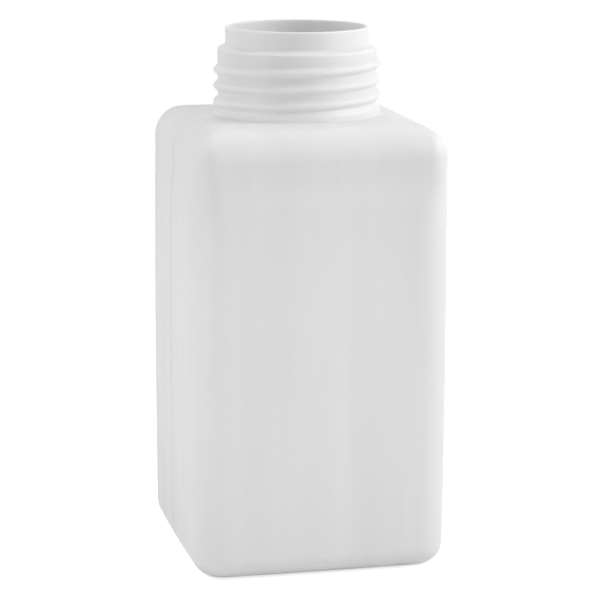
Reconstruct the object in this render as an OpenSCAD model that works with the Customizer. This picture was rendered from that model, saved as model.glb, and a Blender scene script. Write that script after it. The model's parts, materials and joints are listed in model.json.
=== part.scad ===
// Square wide-neck plastic bottle, blown in one piece, open and without its cap.
// Millimetres. The origin is at the middle of the base, on the surface it stands on.
// The body stands along +Z and its flat sides face X and Y.

/* [Body] */
// Width and depth of the body across the ends of its label panel
body_w = 89.6; // [86:0.2:104]
// Height of the shoulder's outer edge above the surface it stands on
shoulder_h = 154.6; // [120:0.5:190]
// Radius of the upright edges along the label panel
panel_edge_r = 10.3; // [8.5:0.1:16]
// Radius where the sides turn over into the shoulder
shoulder_r = 11; // [6:0.5:12]
// Radius where the sides turn under into the base
base_r = 8; // [5:0.5:10]
// How far the shoulder climbs from its edge to the neck
shoulder_rise = 0.5; // [0:0.1:3]
// How far each side swells out at half height, as blown walls do
side_swell = 0.25; // [0:0.05:1.5]
// How far the middle of a side stands proud of its ends
side_crown = 0.6; // [0.1:0.1:1.5]

/* [Shoulder band] */
// Height of the band above the label panel, where the body is squarer
shoulder_band_h = 22; // [20:0.5:40]
// How far a side of the band lies inside the label panel's
band_inset = 0.9; // [0:0.1:1.5]
// Radius of the upright edges in the band
band_edge_r = 7; // [3:0.1:10]
// How far the middle of a side stands proud of its ends in the band
band_crown = 0.1; // [0.1:0.1:1]
// Height over which the label panel blends into the band
band_blend = 10; // [2:0.5:14]

/* [Wall] */
// Thickness of the blown wall
wall = 1.5; // [1:0.1:2.2]

/* [Base] */
// Width of the flat ring that the bottle stands on
stand_ring_w = 4; // [2:0.5:8]
// Rise of the base inside that ring
push_up = 3; // [1:0.5:6]
// Width of the slope from the ring up to the raised base
push_up_slope_w = 6; // [3:0.5:12]

/* [Neck] */
// Height of the neck, from the shoulder to the rim
neck_h = 30.4; // [28:0.1:45]
// Outside diameter of the plain lip
lip_d = 50; // [44:0.2:52]
// Height of the plain lip
lip_h = 6.3; // [4:0.1:10]
// Thickness of the lip's wall
lip_wall = 1.3; // [1:0.1:2]
// Outside diameter of the neck between the thread's turns
neck_d = 55.4; // [54:0.2:57]
// Height of the sloped step from the neck in to the lip
lip_step_h = 1.2; // [0.8:0.1:3]
// Height of the plain collar at the foot of the neck
collar_h = 2.2; // [1.5:0.1:6]
// Outside diameter of that collar
collar_d = 57.8; // [57:0.2:60]
// Height of the slope from the collar in to the neck
collar_slope_h = 2; // [1:0.1:3]
// Width and height of the bevel where the collar meets the shoulder
collar_foot = 0.8; // [0.4:0.1:1.5]

/* [Thread] */
// Height of one turn of the right-hand cap thread
thread_pitch = 5.5; // [5:0.1:6]
// Height of the thread's crest above the neck
thread_h = 1.5; // [0.8:0.1:2]
// Width of the thread at its root
thread_root_w = 4.2; // [3:0.1:4.6]
// Width of the thread at its crest
thread_crest_w = 1; // [0.4:0.1:1.6]
// Number of turns, with both fading ends
thread_turns = 2.85; // [1:0.05:3]
// Height of the thread's lower end above the shoulder
thread_low_h = 3.1; // [2.5:0.1:6]
// Direction in which the thread's lower end lies, from +X towards +Y
thread_low_angle = 87; // [0:1:359]
// Arc over which each end of the thread fades into the neck
thread_fade_angle = 45; // [20:5:90]

/* [Hidden] */
body_color = "whitesmoke";

// Steps round an upright corner and along a side
corner_steps = 6;
side_steps = 6;
// Steps up the base's slope, round an edge, up the panel and up its blend into the band
push_up_steps = 4;
round_steps = 5;
panel_steps = 6;
blend_steps = 5;
// Steps round one turn of the thread
turn_steps = 40;
neck_fn = 96;

panel_half_w = body_w / 2;
neck_foot_z = shoulder_h + shoulder_rise;
rim_z = neck_foot_z + neck_h;
lip_r = lip_d / 2;
neck_r = neck_d / 2;
collar_r = collar_d / 2;
side_top_z = shoulder_h - shoulder_r;
panel_top_z = shoulder_h - shoulder_band_h;
blend_low_z = panel_top_z - band_blend / 2;
blend_high_z = panel_top_z + band_blend / 2;
panel_mid_z = (base_r + blend_low_z) / 2;
// Smallest corner left where an edge round has eaten the upright edge away
least_corner_r = 1;
// The neck's foot starts within the shoulder's wall, and its inside flares a little there
foot_sunk = wall / 2;
foot_flare = 0.4;
// The shoulder's hole ends inside the neck's foot, this far from the neck's inside
hole_margin = 0.9;
shoulder_hole_r = collar_r - wall + hole_margin;
// Depth to which the thread's root is sunk, so that it grows out of the neck's wall
thread_sunk = 0.5;
// Rise of the middle of a thread flank, as a share of the thread's height
flank_share = 0.62;

// Share from 0 to 1 with a soft start and end
function soft(t) = let (u = min(1, max(0, t))) u * u * (3 - 2 * u);

// 1 along the label panel, 0 in the shoulder band
function panel_share(z) = soft((blend_high_z - z) / band_blend);

function panel_or_band(z, panel, band) = band + (panel - band) * panel_share(z);

// Swell of a side at a height: nothing at the base round and where the band's blend starts
function swell(z) =
    let (u = min(1, abs(z - panel_mid_z) / (panel_mid_z - base_r)))
    side_swell * (1 - u * u);

// Outline of the body at one height: four crowned sides and four round corners that meet smoothly.
// half is measured at the middle of a side, r is the corner's radius and bulge the side's crown.
function outline(half, r, bulge, z) =
    let (
        side_r = half * half / (2 * bulge),
        side_c = side_r - half,
        corner_c = (sqrt(2 * pow(side_r - r, 2) - pow(side_c, 2)) - side_c) / 2,
        lean = atan2(corner_c, corner_c + side_c)
    )
    [for (quarter = [0:3])
        let (turn = 90 * quarter)
        each concat(
            [for (i = [0:corner_steps])
                let (a = turn + lean + (90 - 2 * lean) * i / corner_steps)
                concat(
                    corner_c * sqrt(2) * [cos(turn + 45), sin(turn + 45)] + r * [cos(a), sin(a)],
                    [z])],
            [for (i = [1:side_steps - 1])
                let (a = turn + 90 - lean + 2 * lean * i / side_steps)
                concat(
                    -side_c * [cos(turn + 90), sin(turn + 90)] + side_r * [cos(a), sin(a)],
                    [z])])];

// Outline at height z of the wall's face that lies inset from the outside of the body.
// form_z is the height whose width, corners and crown it takes.
function ring(inset, form_z, z) =
    outline(
        panel_or_band(form_z, panel_half_w, panel_half_w - band_inset) + swell(form_z) - inset,
        max(panel_or_band(form_z, panel_edge_r, band_edge_r) - inset, least_corner_r),
        panel_or_band(form_z, side_crown, band_crown),
        z);

// The shoulder's hole, with its points in the directions of the body's own outline
function hole_ring(z) =
    [for (p = ring(shoulder_r, side_top_z, z))
        let (out = shoulder_hole_r / norm([p.x, p.y]))
        [p.x * out, p.y * out, z]];

// Heights of the outlines between the base round and the shoulder round
function side_heights() =
    concat(
        [for (i = [0:panel_steps - 1]) base_r + (blend_low_z - base_r) * i / panel_steps],
        [for (i = [0:blend_steps]) blend_low_z + band_blend * i / blend_steps],
        [side_top_z]);

// Outlines of one face of the wall, from the base up to the shoulder's hole.
// depth is 0 for the outside face and the wall's thickness for the inside face.
function face_rings(depth) =
    let (
        under_r = base_r - depth,
        over_r = shoulder_r - depth,
        stand_in = base_r + stand_ring_w
    )
    concat(
        [for (i = [0:push_up_steps])
            let (t = i / push_up_steps)
            ring(
                stand_in + push_up_slope_w * (1 - t),
                base_r,
                depth + push_up * (1 - soft(t)))],
        [for (i = [0:round_steps - 1])
            let (a = 90 * i / round_steps)
            ring(base_r - under_r * sin(a), base_r, base_r - under_r * cos(a))],
        [for (z = side_heights()) ring(depth, z, z)],
        [for (i = [1:round_steps])
            let (a = 90 * i / round_steps)
            ring(shoulder_r - over_r * cos(a), side_top_z, side_top_z + over_r * sin(a))],
        [hole_ring(neck_foot_z - depth)]);

// Closed skin over a stack of outlines, with a middle point at each end
module skin(rings) {
    count = len(rings[0]);
    last = len(rings) - 1;
    low = [0, 0, rings[0][0].z];
    high = [0, 0, rings[last][0].z];
    points = concat([low], [for (r = rings) each r], [high]);
    faces = concat(
        [for (i = [0:count - 1]) [0, 1 + i, 1 + (i + 1) % count]],
        [for (k = [0:last - 1], i = [0:count - 1])
            let (a = 1 + k * count + i, b = 1 + k * count + (i + 1) % count)
            each [[a, a + count, b], [b, a + count, b + count]]],
        [for (i = [0:count - 1])
            let (a = 1 + last * count + i, b = 1 + last * count + (i + 1) % count)
            [a, len(points) - 1, b]]);
    polyhedron(points = points, faces = faces);
}

// The body's wall: up the outside face, over the hole's edge and down the inside face
module body_shell() {
    outer = face_rings(0);
    inner = face_rings(wall);
    flipped = [for (i = [len(inner) - 1:-1:0]) inner[i]];
    skin(concat(outer, flipped));
}

// The neck without its thread: collar, threaded part, step and plain lip, all one thin wall
module neck_shell() {
    lip_foot_z = rim_z - lip_h;
    step_foot_z = lip_foot_z - lip_step_h;
    collar_top_z = neck_foot_z + collar_h;
    slope_top_z = collar_top_z + collar_slope_h;
    rotate_extrude($fn = neck_fn)
        polygon([
            [collar_r - wall, neck_foot_z],
            [collar_r - wall + foot_flare, neck_foot_z - foot_sunk],
            [collar_r + collar_foot + foot_sunk, neck_foot_z - foot_sunk],
            [collar_r, neck_foot_z + collar_foot],
            [collar_r, collar_top_z],
            [neck_r, slope_top_z],
            [neck_r, step_foot_z],
            [lip_r, lip_foot_z],
            [lip_r, rim_z],
            [lip_r - lip_wall, rim_z],
            [lip_r - lip_wall, lip_foot_z - wall / 2],
            [neck_r - wall, step_foot_z - wall / 2],
            [neck_r - wall, slope_top_z - wall / 2],
            [collar_r - wall, collar_top_z - wall / 2]]);
}

// A coil that follows the thread's path along a wall of radius wall_r and fades out at both ends
module thread_coil(wall_r) {
    steps = ceil(thread_turns * turn_steps);
    full_angle = 360 * thread_turns;
    root = thread_root_w / 2;
    crest = thread_crest_w / 2;
    flank = (root + crest) / 2;
    // Section from above to below, as [share of the height, offset along the neck]
    section = [[0, root], [flank_share, flank], [1, crest],
               [1, -crest], [flank_share, -flank], [0, -root]];
    points = [for (k = [0:steps])
        let (
            along = full_angle * k / steps,
            angle = thread_low_angle + along,
            out = [cos(angle), sin(angle)],
            z = neck_foot_z + thread_low_h + thread_pitch * along / 360,
            fade = soft(min(along, full_angle - along) / thread_fade_angle),
            foot_r = wall_r - thread_sunk,
            reach = (thread_h + thread_sunk) * fade
        )
        each concat(
            [concat(out * (foot_r - thread_sunk), [z - root])],
            [concat(out * (foot_r - thread_sunk), [z + root])],
            [for (point = section) concat(out * (foot_r + reach * point[0]), [z + point[1]])])];
    around = len(section) + 2;
    faces = concat(
        [[for (i = [0:around - 1]) i]],
        [for (k = [0:steps - 1], i = [0:around - 1])
            let (a = k * around + i, b = k * around + (i + 1) % around)
            each [[a, a + around, b], [b, a + around, b + around]]],
        [[for (i = [around - 1:-1:0]) steps * around + i]]);
    polyhedron(points = points, faces = faces);
}

// The whole bottle is one blown piece.
// The thread is blown with the wall, so the neck's inside follows it as a helical groove.
module bottle() {
    color(body_color)
        difference() {
            union() {
                body_shell();
                neck_shell();
                thread_coil(neck_r);
            }
            thread_coil(neck_r - wall);
        }
}

bottle();
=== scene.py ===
# %% [markdown]
# A square wide-neck bottle, blown in one piece from natural polyethylene
#
# The real bottle is a tube of soft plastic that was clamped in a two-part mould and blown
# against it. So it is one thin wall everywhere: the inside follows the outside, even in the
# hollow thread of the neck. This lesson builds it the same way. One skin runs up the outside,
# over the lip and down the inside, and one plastic covers all of it.

import json
import math

import bpy
import numpy as np
from mathutils import Matrix, Vector

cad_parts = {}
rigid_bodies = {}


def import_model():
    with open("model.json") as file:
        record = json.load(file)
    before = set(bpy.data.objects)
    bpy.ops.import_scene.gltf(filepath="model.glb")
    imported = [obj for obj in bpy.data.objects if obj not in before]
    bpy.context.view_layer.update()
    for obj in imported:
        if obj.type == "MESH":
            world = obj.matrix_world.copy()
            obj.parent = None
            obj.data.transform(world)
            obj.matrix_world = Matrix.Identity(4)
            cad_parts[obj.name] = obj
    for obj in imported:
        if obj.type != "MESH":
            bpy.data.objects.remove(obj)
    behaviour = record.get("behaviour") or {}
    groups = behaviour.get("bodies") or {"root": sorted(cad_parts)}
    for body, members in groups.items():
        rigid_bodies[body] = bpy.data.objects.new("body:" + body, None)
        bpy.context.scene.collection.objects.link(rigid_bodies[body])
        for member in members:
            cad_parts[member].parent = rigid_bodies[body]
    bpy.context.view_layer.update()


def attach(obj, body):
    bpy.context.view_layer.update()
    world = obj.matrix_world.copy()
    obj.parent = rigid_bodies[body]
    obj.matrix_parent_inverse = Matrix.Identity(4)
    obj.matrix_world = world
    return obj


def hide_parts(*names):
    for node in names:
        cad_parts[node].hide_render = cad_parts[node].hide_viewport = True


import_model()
MM = 0.001

# %% [markdown]
# Sizes
#
# They are the sizes of the CAD model, in millimetres. A mesh for the eye needs the same form with
# finer steps. It could be made by smoothing the CAD model's own mesh, but that would soften the
# thread and the lip with it. So the same rules are followed here again with more outlines.

# %% Sizes of the body and its wall
BODY_W = 89.6
SHOULDER_H = 154.6
SHOULDER_RISE = 0.5
PANEL_EDGE_R, BAND_EDGE_R = 10.3, 7.0
PANEL_CROWN, BAND_CROWN = 0.6, 0.1
SIDE_SWELL = 0.25
SHOULDER_R, BASE_R = 11.0, 8.0
BAND_H, BAND_INSET, BAND_BLEND = 22.0, 0.9, 10.0
WALL = 1.5
STAND_RING_W, PUSH_UP, PUSH_UP_SLOPE_W = 4.0, 3.0, 6.0
SIDE_TOP = SHOULDER_H - SHOULDER_R
PANEL_TOP = SHOULDER_H - BAND_H
PANEL_MID = (BASE_R + PANEL_TOP - BAND_BLEND / 2) / 2
print(f"body {BODY_W} mm wide, shoulder at {SHOULDER_H} mm, wall {WALL} mm")

# %% Sizes of the neck and its thread
NECK_FOOT = SHOULDER_H + SHOULDER_RISE
NECK_H = 30.4
RIM = NECK_FOOT + NECK_H
LIP_R, LIP_H, LIP_WALL = 25.0, 6.3, 1.3
NECK_R, LIP_STEP_H = 27.7, 1.2
COLLAR_R, COLLAR_H, COLLAR_SLOPE_H, COLLAR_FOOT = 28.9, 2.2, 2.0, 0.8
PITCH, THREAD_H, THREAD_TURNS = 5.5, 1.5, 2.85
THREAD_LOW, THREAD_LOW_ANGLE, THREAD_FADE = 3.1, 87.0, 45.0
print(f"rim at {RIM} mm, thread {2 * (NECK_R + THREAD_H)} mm across")

# %% [markdown]
# The outline of the body
#
# Seen from above, the body is a square with slightly crowned sides and round corners. It could
# be a bevelled cube, but the corners change their radius on the way up, and the sides swell.
# So each height gets its own outline, from the same rule: four flat arcs that meet four corner
# arcs without a kink. Each outline has the same number of points, so that they join into a grid.
# Five of the points of each side stand close together at its middle, for the parting line.

# %% Outline
CORNER_SHARES = np.linspace(0, 1, 11)
SEAM_SHARES = np.array([-0.03, -0.012, 0, 0.012, 0.03])
SIDE_SHARES = np.concatenate(
    [np.linspace(0, 0.5, 11)[1:-1], 0.5 + SEAM_SHARES, np.linspace(0.5, 1, 11)[1:-1]])


def outline(half, r, bulge):
    """Outline of the body: half width at the middle of a side, corner radius, crown of a side."""
    side_r = half * half / (2 * bulge)
    side_c = side_r - half
    corner_c = (math.sqrt(2 * (side_r - r) ** 2 - side_c ** 2) - side_c) / 2
    lean = math.atan2(corner_c, corner_c + side_c)
    points = []
    for quarter in range(4):
        turn = math.pi / 2 * quarter
        a = turn + lean + (math.pi / 2 - 2 * lean) * CORNER_SHARES
        middle = turn + math.pi / 4
        points.append(
            corner_c * math.sqrt(2) * np.array([math.cos(middle), math.sin(middle)])
            + r * np.stack([np.cos(a), np.sin(a)], axis=1))
        a = turn + math.pi / 2 - lean + 2 * lean * SIDE_SHARES
        middle = turn + math.pi / 2
        points.append(
            -side_c * np.array([math.cos(middle), math.sin(middle)])
            + side_r * np.stack([np.cos(a), np.sin(a)], axis=1))
    return np.concatenate(points)


print("points in one outline:", len(outline(BODY_W / 2, PANEL_EDGE_R, PANEL_CROWN)))

# %% [markdown]
# How the outline changes with the height
#
# Below is the panel, the plain field where a label would go. Above it is a band that is a little
# narrower and squarer, with a soft step between. It could be two boxes with a bevelled step, but
# a blown wall has no sharp step. So every value goes from the panel's to the band's by one soft
# share, and the sides swell a little towards the middle of the panel.

# %% Rings
def soft(t):
    u = np.clip(t, 0, 1)
    return u * u * (3 - 2 * u)


def panel_or_band(z, panel, band):
    return band + (panel - band) * soft((PANEL_TOP + BAND_BLEND / 2 - z) / BAND_BLEND)


def swell(z):
    u = min(1, abs(z - PANEL_MID) / (PANEL_MID - BASE_R))
    return SIDE_SWELL * (1 - u * u)


def ring(inset, form_z, z):
    """Ring of points at height z, inset from the outside, with the form that height form_z has."""
    flat = outline(
        panel_or_band(form_z, BODY_W / 2, BODY_W / 2 - BAND_INSET) + swell(form_z) - inset,
        max(panel_or_band(form_z, PANEL_EDGE_R, BAND_EDGE_R) - inset, 1.0),
        panel_or_band(form_z, PANEL_CROWN, BAND_CROWN))
    return np.column_stack([flat, np.full(len(flat), z)])


panel_half, band_half = (ring(0, z, z)[:, 0].max() for z in (PANEL_MID, SIDE_TOP))
print(f"half width of the panel {panel_half:.2f} mm, of the band {band_half:.2f} mm")

# %% [markdown]
# The wall of the body
#
# The middle of the real base is pushed up, so that the bottle stands on a ring and doesn't rock.
# The wall could come from one skin and a Solidify modifier, but the lip is thinner than the rest of
# the wall, and small rounds can fold on its inside. Here one function draws both faces of the wall,
# and for the inner one every round is smaller by the wall's thickness.

# %% Body rings
FLAT_STEPS, SLOPE_STEPS = 6, 11


def body_rings(depth):
    """Rings of one face of the body's wall, from the raised base up to the shoulder's edge."""
    under, over = BASE_R - depth, SHOULDER_R - depth
    inner = BASE_R + STAND_RING_W
    rings = []
    for t in np.linspace(0.1, 0.8, FLAT_STEPS):
        rings.append(ring(BODY_W / 2 - (BODY_W / 2 - inner - PUSH_UP_SLOPE_W) * t, BASE_R, depth + PUSH_UP))
    for t in np.linspace(0, 1, SLOPE_STEPS):
        rings.append(ring(inner + PUSH_UP_SLOPE_W * (1 - t), BASE_R, depth + PUSH_UP * (1 - soft(t))))
    for a in np.radians(np.linspace(0, 90, 13)):
        rings.append(ring(BASE_R - under * math.sin(a), BASE_R, BASE_R - under * math.cos(a)))
    heights = np.concatenate([
        np.linspace(BASE_R, PANEL_TOP - BAND_BLEND / 2, 25)[1:],
        np.linspace(PANEL_TOP - BAND_BLEND / 2, PANEL_TOP + BAND_BLEND / 2, 13)[1:],
        np.linspace(PANEL_TOP + BAND_BLEND / 2, SIDE_TOP, 5)[1:]])
    rings += [ring(depth, z, z) for z in heights]
    for a in np.radians(np.linspace(0, 90, 15)[1:]):
        rings.append(ring(SHOULDER_R - over * math.cos(a), SIDE_TOP, SIDE_TOP + over * math.sin(a)))
    return rings


outer_body, inner_body = body_rings(0), body_rings(WALL)
print("rings of the body:", len(outer_body), "outside and", len(inner_body), "inside")

# %% [markdown]
# The neck
#
# The neck has a collar at its foot, a straight part for the thread, a step and a thin lip, where
# a cap's seal would press. It is round, so a Screw modifier could turn a profile into it. But its
# points have to meet those of the square body, so its rings are made one by one. The profile is
# drawn as straight runs between named corners, and each corner is then rounded, because blown
# plastic never fills a sharp corner of its mould. The rounding is a short curve that leaves the
# corner's two runs where they are.

# %% Profile
def rounded(corners, spacing):
    """Profile through corners of (radius, height, size of the rounding), in steps of spacing."""
    points = []
    for k, (r, z, size) in enumerate(corners):
        here = np.array([r, z])
        if k in (0, len(corners) - 1):
            points.append(here)
            continue
        before, after = (np.array(corners[j][:2]) - here for j in (k - 1, k + 1))
        start = here + before / np.linalg.norm(before) * size
        end = here + after / np.linalg.norm(after) * size
        for t in np.linspace(0, 1, 6):
            points.append((1 - t) ** 2 * start + 2 * t * (1 - t) * here + t * t * end)
    path = [points[0]]
    for a, b in zip(points, points[1:]):
        steps = max(1, math.ceil(np.linalg.norm(b - a) / spacing))
        path += [a + (b - a) * i / steps for i in range(1, steps + 1)]
    return np.array(path)


sample = rounded([(0, 0, 0), (10, 0, 2), (10, 10, 0)], 1)
print("a rounded corner between two runs of 10 mm has", len(sample), "points")

# %% Neck profile
PROFILE_STEP = 0.28
LIP_FOOT = RIM - LIP_H
STEP_FOOT = LIP_FOOT - LIP_STEP_H
COLLAR_TOP = NECK_FOOT + COLLAR_H
SLOPE_TOP = COLLAR_TOP + COLLAR_SLOPE_H
neck_outside = rounded([
    (COLLAR_R + 2.4, NECK_FOOT, 0),
    (COLLAR_R, NECK_FOOT, COLLAR_FOOT * 1.4),
    (COLLAR_R, COLLAR_TOP, 0.5),
    (NECK_R, SLOPE_TOP, 0.6),
    (NECK_R, STEP_FOOT, 0.6),
    (LIP_R, LIP_FOOT, 0.5),
    (LIP_R, RIM, 0.45),
    (LIP_R - LIP_WALL / 2, RIM, 0),
], PROFILE_STEP)
neck_inside = rounded([
    (LIP_R - LIP_WALL / 2, RIM, 0),
    (LIP_R - LIP_WALL, RIM, 0.45),
    (LIP_R - LIP_WALL, LIP_FOOT - WALL / 2, 0.5),
    (NECK_R - WALL, STEP_FOOT - WALL / 2, 0.5),
    (NECK_R - WALL, SLOPE_TOP - WALL / 2, 0.5),
    (COLLAR_R - WALL, COLLAR_TOP - WALL / 2, 0.5),
    (COLLAR_R - WALL, NECK_FOOT - WALL, 1.0),
    (COLLAR_R + 1.5, NECK_FOOT - WALL, 0),
], PROFILE_STEP)
print("points in the neck's profile:", len(neck_outside), "outside and", len(neck_inside), "inside")

# %% [markdown]
# The thread
#
# The cap's thread is a ridge that winds up the neck once in 5.5 mm, and fades out at both ends.
# It could be a swept curve joined to the neck, but a blown thread is a wave of the wall itself.
# So it is added to the neck's radius: for each point the distance to the ridge's middle line gives
# the height of the wave. Averaging over a small reach rounds the edges of the ridge. The inside
# of the neck gets the same wave, as on the real bottle, where a finger feels it as a groove.

# %% Thread
RIDGE_WIDTHS = [0.5, 1.3, 1.78]
RIDGE_HEIGHTS = [THREAD_H, THREAD_H * 0.5, 0]
EDGE_REACH = np.linspace(-0.3, 0.3, 5)


def thread_wave(angles, z):
    """How far the thread pushes the neck's wall out, at angles in degrees and height z."""
    full = 360 * THREAD_TURNS
    wave = np.zeros(len(angles))
    for turn in range(math.ceil(THREAD_TURNS)):
        along = (angles - THREAD_LOW_ANGLE) % 360 + 360 * turn
        fade = soft(np.minimum(along, full - along) / THREAD_FADE)
        off = z - NECK_FOOT - THREAD_LOW - PITCH * along / 360
        ridge = np.mean([np.interp(abs(off + s), RIDGE_WIDTHS, RIDGE_HEIGHTS) for s in EDGE_REACH], axis=0)
        wave = np.maximum(wave, ridge * fade)
    return wave


half_way = thread_wave(np.array([0.0, 90.0, 180.0, 270.0]), (SLOPE_TOP + STEP_FOOT) / 2)
print("thread at half height, in four directions, in mm:", half_way.round(2))

# %% [markdown]
# Rings of the neck
#
# A circle of evenly spaced points could be bridged to the square body, but the faces between would
# twist. So each ring of the neck has its points in the directions of the points of the shoulder's
# edge, and the lines of the grid run straight on from the body to the lip.

# %% Neck rings
directions = outer_body[-1][:, :2]
angles = np.degrees(np.arctan2(directions[:, 1], directions[:, 0]))
rays = np.column_stack([np.cos(np.radians(angles)), np.sin(np.radians(angles))])


def neck_ring(r, z, threaded):
    if threaded:
        r = r + thread_wave(angles, z)[:, None]
    return np.column_stack([rays * r, np.full(len(rays), z)])


def neck_rings(profile, low, high):
    return [neck_ring(r, z, low < z < high) for r, z in profile]


outer_neck = neck_rings(neck_outside, SLOPE_TOP - 3, STEP_FOOT)
inner_neck = neck_rings(neck_inside, SLOPE_TOP - 3, STEP_FOOT - 0.2)
print("highest thread wave:", round(thread_wave(angles, RIM - 12).max(), 2), "mm")

# %% [markdown]
# The top of the shoulder
#
# Between the square edge and the round neck the shoulder is almost flat. One long face for each
# direction could close it, but such long faces shade badly where they meet the rounds. So each
# point of the square's last ring is joined to the point of the neck's first ring in the same
# direction over a few steps, and the grid's lines spread out evenly.

# %% Shoulder
def between(first, last, steps):
    return [first + (last - first) * t for t in np.linspace(0, 1, steps + 1)[1:-1]]


outer_rings = outer_body + between(outer_body[-1], outer_neck[0], 7) + outer_neck
inner_rings = inner_neck + between(inner_neck[-1], inner_body[-1], 7) + inner_body[::-1]
rings = outer_rings + inner_rings[1:]
print("rings in all:", len(rings))

# %% [markdown]
# The parting line
#
# The two halves of the mould met in a plane through the bottle's left and right sides. The plastic
# there keeps a thin upright ridge with a shallow hollow on each side of it. It could be a bump in
# the material, but seen along the side it has to be in the form. So the points that stand close
# together at the middle of those sides are moved in by about two tenths of a millimetre, and only
# the middle one keeps its place. It ends just below the rim, which is cut smooth after blowing.

# %% Parting line
SEAM_HOLLOW = 0.2
RIM_POINTS = 12
seam_depth = np.zeros(len(rays))
count = len(CORNER_SHARES) + len(SIDE_SHARES)
for quarter in (1, 3):
    start = quarter * count + len(CORNER_SHARES) + (len(SIDE_SHARES) - len(SEAM_SHARES)) // 2
    seam_depth[start:start + len(SEAM_SHARES)] = [0.5, 1, 0, 1, 0.5]
for points in rings[FLAT_STEPS + SLOPE_STEPS:len(outer_rings) - RIM_POINTS]:
    if points[0, 2] > 0.3:
        points[:, 0] -= np.sign(points[:, 0]) * seam_depth * SEAM_HOLLOW
print("hollow beside the parting line:", SEAM_HOLLOW, "mm")

# %% [markdown]
# One skin
#
# The real bottle is one wall, so it is one closed mesh: quads between neighbouring rings, and a
# fan at the middle of the base, outside and inside. The rings could be joined with the Bridge
# tool of Edit mode, but a list of faces says plainly which points meet.

# %% Mesh
def skin(name, rings):
    across = len(rings[0])
    points = [np.array([[0, 0, rings[0][0, 2]]])] + rings + [np.array([[0, 0, rings[-1][0, 2]]])]
    vertices = np.concatenate(points) * MM
    faces = []
    for i in range(across):
        j = (i + 1) % across
        faces.append((0, 1 + j, 1 + i))
        for k in range(len(rings) - 1):
            a, b = 1 + k * across, 1 + (k + 1) * across
            faces.append((a + i, a + j, b + j, b + i))
        last = 1 + (len(rings) - 1) * across
        faces.append((last + i, last + j, len(vertices) - 1))
    mesh = bpy.data.meshes.new(name)
    mesh.from_pydata(vertices.tolist(), [], faces)
    mesh.polygons.foreach_set("use_smooth", [True] * len(mesh.polygons))
    mesh.update()
    piece = bpy.data.objects.new(name, mesh)
    bpy.context.collection.objects.link(piece)
    return piece


bottle = skin("blown_bottle", rings)
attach(bottle, "root")
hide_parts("bottle")
print("faces of the bottle:", len(bottle.data.polygons))

# %% [markdown]
# Natural HDPE, blow-moulded
#
# HDPE without any pigment is milky: light goes into it, is scattered by its crystals, and comes
# out again nearby or on the other side of the wall. A plain white paint would look like china.
# So the colour is carried by scattering under the surface, which reaches about two millimetres, in a
# wall of the real thickness. The tube of plastic came out of a round die, which leaves upright
# streaks where the wall is a little thicker and so whiter, and finer upright lines. The hollows
# beside the parting line are painted a little greyer, as painted shade. The surface is the mould's:
# satin and a little wavy.

# %% Helpers for materials
MID_GREY = "808080"


def linear(code):
    """Linear colour from an sRGB hex value such as DDEEFF."""
    parts = [int(code[i:i + 2], 16) / 255 for i in (0, 2, 4)]
    return [c / 12.92 if c <= 0.04045 else ((c + 0.055) / 1.055) ** 2.4 for c in parts] + [1]


def add(tree, kind, links=(), **settings):
    """Adds a node; settings are its properties or sockets, links are (socket, output) pairs."""
    node = tree.nodes.new(kind)
    for name, value in settings.items():
        if hasattr(node, name):
            setattr(node, name, value)
        else:
            node.inputs[name.replace("_", " ")].default_value = value
    for socket, output in links:
        tree.links.new(output, node.inputs[socket])
    return node


def new_material(name):
    material = bpy.data.materials.new(name)
    material.use_nodes = True
    material.node_tree.nodes.clear()
    return material, material.node_tree


print("sRGB", MID_GREY, "is", round(linear(MID_GREY)[0], 3), "in linear light")

# %% [markdown]
# Streaks and lines of the wall
#
# The pattern is three noises on the object's own coordinates. The broad clouds, about 22 mm, make
# the surface a little wavy. The streaks, about 12 mm, and the finer lines that the die drew are
# the same noise stretched along the height. Real die lines are under a millimetre apart. They are
# drawn as coarse as they need to show, about 4 mm. A painted picture could carry all this, but
# noise needs no unwrapping and fits any size.

# %% Natural HDPE
CLOUD, STREAK, DIE_LINE = 22 * MM, 12 * MM, 4 * MM
ALONG = 0.06
HOLLOW_AT, HOLLOW_REACH = 1.7 * MM, 1.2 * MM
WAVE_DEPTH, LINE_DEPTH, SCATTER_REACH = 0.4 * MM, 0.3 * MM, 1.8 * MM
hdpe, tree = new_material("natural_hdpe_blow_moulded")
place = add(tree, "ShaderNodeTexCoord")
clouds = add(tree, "ShaderNodeTexNoise", [("Vector", place.outputs["Object"])], Scale=1 / CLOUD, Detail=2)
upright = add(tree, "ShaderNodeMapping", [("Vector", place.outputs["Object"])], Scale=(1, 1, ALONG))
streaks = add(tree, "ShaderNodeTexNoise", [("Vector", upright.outputs[0])], Scale=1 / STREAK, Detail=1)
die_lines = add(tree, "ShaderNodeTexNoise", [("Vector", upright.outputs[0])], Scale=1 / DIE_LINE, Detail=2)
thickness = add(
    tree, "ShaderNodeMath", [(0, die_lines.outputs["Fac"]), (2, streaks.outputs["Fac"])],
    operation="MULTIPLY_ADD")
thickness.inputs[1].default_value = 0.25
thick = add(
    tree, "ShaderNodeMapRange", [("Value", thickness.outputs[0])],
    **{"From Min": 0.37, "From Max": 0.87})
body_colour = add(tree, "ShaderNodeMix", [("Factor", thick.outputs[0])], data_type="RGBA")
body_colour.inputs["A"].default_value = linear("EAEAEA")
body_colour.inputs["B"].default_value = linear("EFEFEF")

# Painted shade: on the body, bands from about 0.5 to 2.9 mm either side of the parting line are painted up
# to 60 % of the way to D8D8D8, as the shade in the hollows there.
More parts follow.
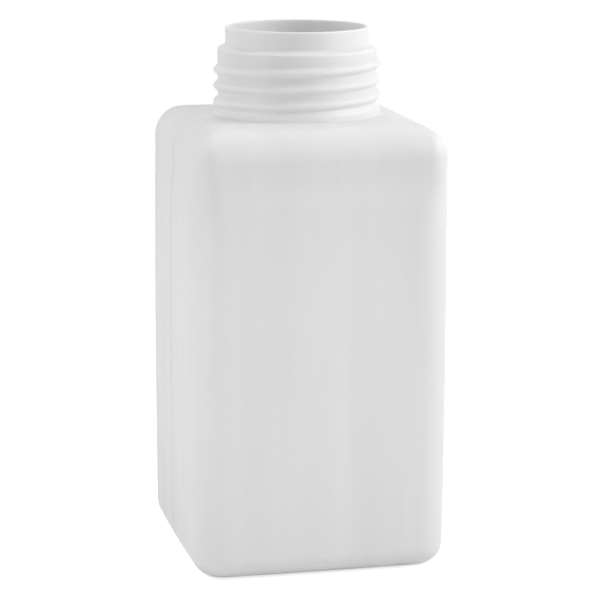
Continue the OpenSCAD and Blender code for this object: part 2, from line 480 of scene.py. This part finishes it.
depth = add(tree, "ShaderNodeSeparateXYZ", [("Vector", place.outputs["Object"])])
from_line = add(tree, "ShaderNodeMath", [(0, depth.outputs["Y"])], operation="ABSOLUTE")
from_hollow = add(tree, "ShaderNodeMath", [(0, from_line.outputs[0])], operation="SUBTRACT")
from_hollow.inputs[1].default_value = HOLLOW_AT
off_hollow = add(tree, "ShaderNodeMath", [(0, from_hollow.outputs[0])], operation="ABSOLUTE")
hollow = add(
    tree, "ShaderNodeMapRange", [("Value", off_hollow.outputs[0])],
    **{"From Max": HOLLOW_REACH, "To Min": 0.6, "To Max": 0.0})
on_body = add(
    tree, "ShaderNodeMapRange", [("Value", depth.outputs["Z"])],
    **{"From Min": SIDE_TOP * MM, "From Max": NECK_FOOT * MM, "To Min": 1.0, "To Max": 0.0})
painted_seam_shade = add(
    tree, "ShaderNodeMath", [(0, hollow.outputs[0]), (1, on_body.outputs[0])],
    operation="MULTIPLY")
colour = add(
    tree, "ShaderNodeMix", [("Factor", painted_seam_shade.outputs[0]), ("A", body_colour.outputs["Result"])],
    data_type="RGBA")
# D8D8D8 is the painted shade of the hollows beside the parting line.
colour.inputs["B"].default_value = linear("D8D8D8")
rough = add(
    tree, "ShaderNodeMapRange", [("Value", clouds.outputs["Fac"])],
    **{"To Min": 0.45, "To Max": 0.53})
wave_bump = add(
    tree, "ShaderNodeBump", [("Height", clouds.outputs["Fac"])],
    Strength=0.15, Distance=WAVE_DEPTH)
line_bump = add(
    tree, "ShaderNodeBump", [("Height", die_lines.outputs["Fac"]), ("Normal", wave_bump.outputs[0])],
    Strength=0.4, Distance=LINE_DEPTH)
shader = add(
    tree, "ShaderNodeBsdfPrincipled",
    [("Base Color", colour.outputs["Result"]), ("Roughness", rough.outputs[0]),
     ("Normal", line_bump.outputs[0])],
    IOR=1.54, Subsurface_Weight=1.0, Subsurface_Scale=SCATTER_REACH)
shader.inputs["Subsurface Radius"].default_value = (1.0, 1.0, 1.0)
add(tree, "ShaderNodeOutputMaterial", [("Surface", shader.outputs[0])])
bottle.data.materials.append(hdpe)
print("material:", hdpe.name, "with", len(hdpe.node_tree.nodes), "nodes")

# %% [markdown]
# The floor
#
# The photograph shows the bottle cut out on white. A floor bright enough to look white could be
# lit so by stronger lamps, but they would bleach the bottle too. So the floor is a pale grey, and a
# little of its own light is added to it only for rays that look at it as a background.

# %% Floor
def seen_as_background(tree):
    """1 for a ray from the camera, straight or by way of a reflection or a clear piece, else 0."""
    path = add(tree, "ShaderNodeLightPath")
    seen = path.outputs["Is Camera Ray"]
    for ray in ("Is Glossy Ray", "Is Transmission Ray"):
        either = add(tree, "ShaderNodeMath", [(0, seen), (1, path.outputs[ray])], operation="MAXIMUM")
        seen = either.outputs[0]
    return seen


def floor_mesh(size):
    mesh = bpy.data.meshes.new("pale_floor")
    corners = [(-size, -size, 0), (size, -size, 0), (size, size, 0), (-size, size, 0)]
    mesh.from_pydata(corners, [], [(0, 1, 2, 3)])
    floor = bpy.data.objects.new("pale_floor", mesh)
    bpy.context.collection.objects.link(floor)
    return floor


floor = floor_mesh(3.0)
floor_paint, tree = new_material("pale_floor")
paint = add(tree, "ShaderNodeBsdfDiffuse")
paint.inputs["Color"].default_value = linear("E6E6E6")
lift = add(tree, "ShaderNodeEmission", [("Strength", seen_as_background(tree))])
lift.inputs["Color"].default_value = (0.62, 0.62, 0.62, 1)
both = add(tree, "ShaderNodeAddShader")
tree.links.new(paint.outputs[0], both.inputs[0])
tree.links.new(lift.outputs[0], both.inputs[1])
add(tree, "ShaderNodeOutputMaterial", [("Surface", both.outputs[0])])
floor.data.materials.append(floor_paint)
print("floor:", floor.name)

# %% [markdown]
# The room
#
# The rest of the studio is pale and plain. It could be a picture of a real studio, but one even
# tone is enough around a satin, milky bottle. It lights the bottle at about half strength, and it
# is white where it is looked at as a background.

# %% World
WORLD_LEVEL = 0.49
world = bpy.data.worlds.new("studio")
bpy.context.scene.world = world
world.use_nodes = True
tree = world.node_tree
tree.nodes.clear()
level = add(
    tree, "ShaderNodeMapRange", [("Value", seen_as_background(tree))],
    **{"To Min": WORLD_LEVEL, "To Max": 1.0})
sky = add(tree, "ShaderNodeBackground", [("Strength", level.outputs[0])], Color=(1, 1, 1, 1))
add(tree, "ShaderNodeOutputWorld", [("Surface", sky.outputs[0])])
print("world level:", WORLD_LEVEL)

# %% [markdown]
# The lights
#
# Two soft lights stand at the bottle's sides and shine down into its mouth, with a weak one over
# it. The front of the neck is the greyest part, but the body's front is lighter, as from a low
# light that the neck gets nothing of. That could be a lamp with a flag in front of it. A small
# soft light with a grid, which keeps its beam narrow, needs nothing else in the scene.

# %% Lights
def softbox(name, place, size, power, aim_z=0.09, spread=180):
    """Rectangular soft light; a spread under 180 degrees is a grid on it, which keeps its beam narrow."""
    light = bpy.data.lights.new(name, "AREA")
    light.shape = "RECTANGLE"
    light.size, light.size_y = size
    light.energy = power
    light.spread = math.radians(spread)
    lamp = bpy.data.objects.new(name, light)
    lamp.location = place
    lamp.rotation_euler = (Vector((0, 0, aim_z)) - lamp.location).to_track_quat("-Z", "Y").to_euler()
    bpy.context.collection.objects.link(lamp)


softbox("left_softbox", (-0.68, 0.04, 0.55), (0.35, 0.35), 1.2)
softbox("right_softbox", (0.68, -0.28, 0.55), (0.35, 0.35), 3.5)
softbox("top_softbox", (0.0, 0.15, 0.9), (0.3, 0.3), 0.55)
softbox("low_gridded_softbox", (-0.35, -0.42, 0.08), (0.16, 0.16), 0.0165, aim_z=0.075, spread=16)

# %% [markdown]
# Camera
#
# The photograph was taken from the left and a little above, from about 0.86 m with a long lens.
# The camera could be placed by eye, but a long lens hides small mistakes in its distance. So
# these values come from fitting a camera to the bottle's outline in the photograph.

# %% Camera
CAM_TURN, CAM_RISE, CAM_ROLL = -0.229999, 0.205361, 0.003387
CAM_DISTANCE, CAM_SIDE, CAM_HEIGHT = 862.25, 1.283, 88.344
CAM_LENS = 2430.91 * 36 / 600
forward = Vector((
    -math.sin(CAM_TURN) * math.cos(CAM_RISE),
    math.cos(CAM_TURN) * math.cos(CAM_RISE),
    -math.sin(CAM_RISE)))
right = Vector((math.cos(CAM_TURN), math.sin(CAM_TURN), 0))
up = right.cross(forward)
side = math.cos(CAM_ROLL) * right + math.sin(CAM_ROLL) * up
top = math.cos(CAM_ROLL) * up - math.sin(CAM_ROLL) * right
aim = right * CAM_SIDE + Vector((0, 0, CAM_HEIGHT))
lens = bpy.data.cameras.new("camera")
lens.lens, lens.sensor_width = CAM_LENS, 36
camera = bpy.data.objects.new("camera", lens)
bpy.context.collection.objects.link(camera)
turn = Matrix((side, top, -forward)).transposed()
camera.matrix_world = Matrix.Translation((aim - forward * CAM_DISTANCE) * MM) @ turn.to_4x4()
bpy.context.scene.camera = camera
bpy.context.scene.view_settings.view_transform = "Standard"
print("camera at", [round(c, 3) for c in camera.location], "with a lens of", round(CAM_LENS, 1), "mm")
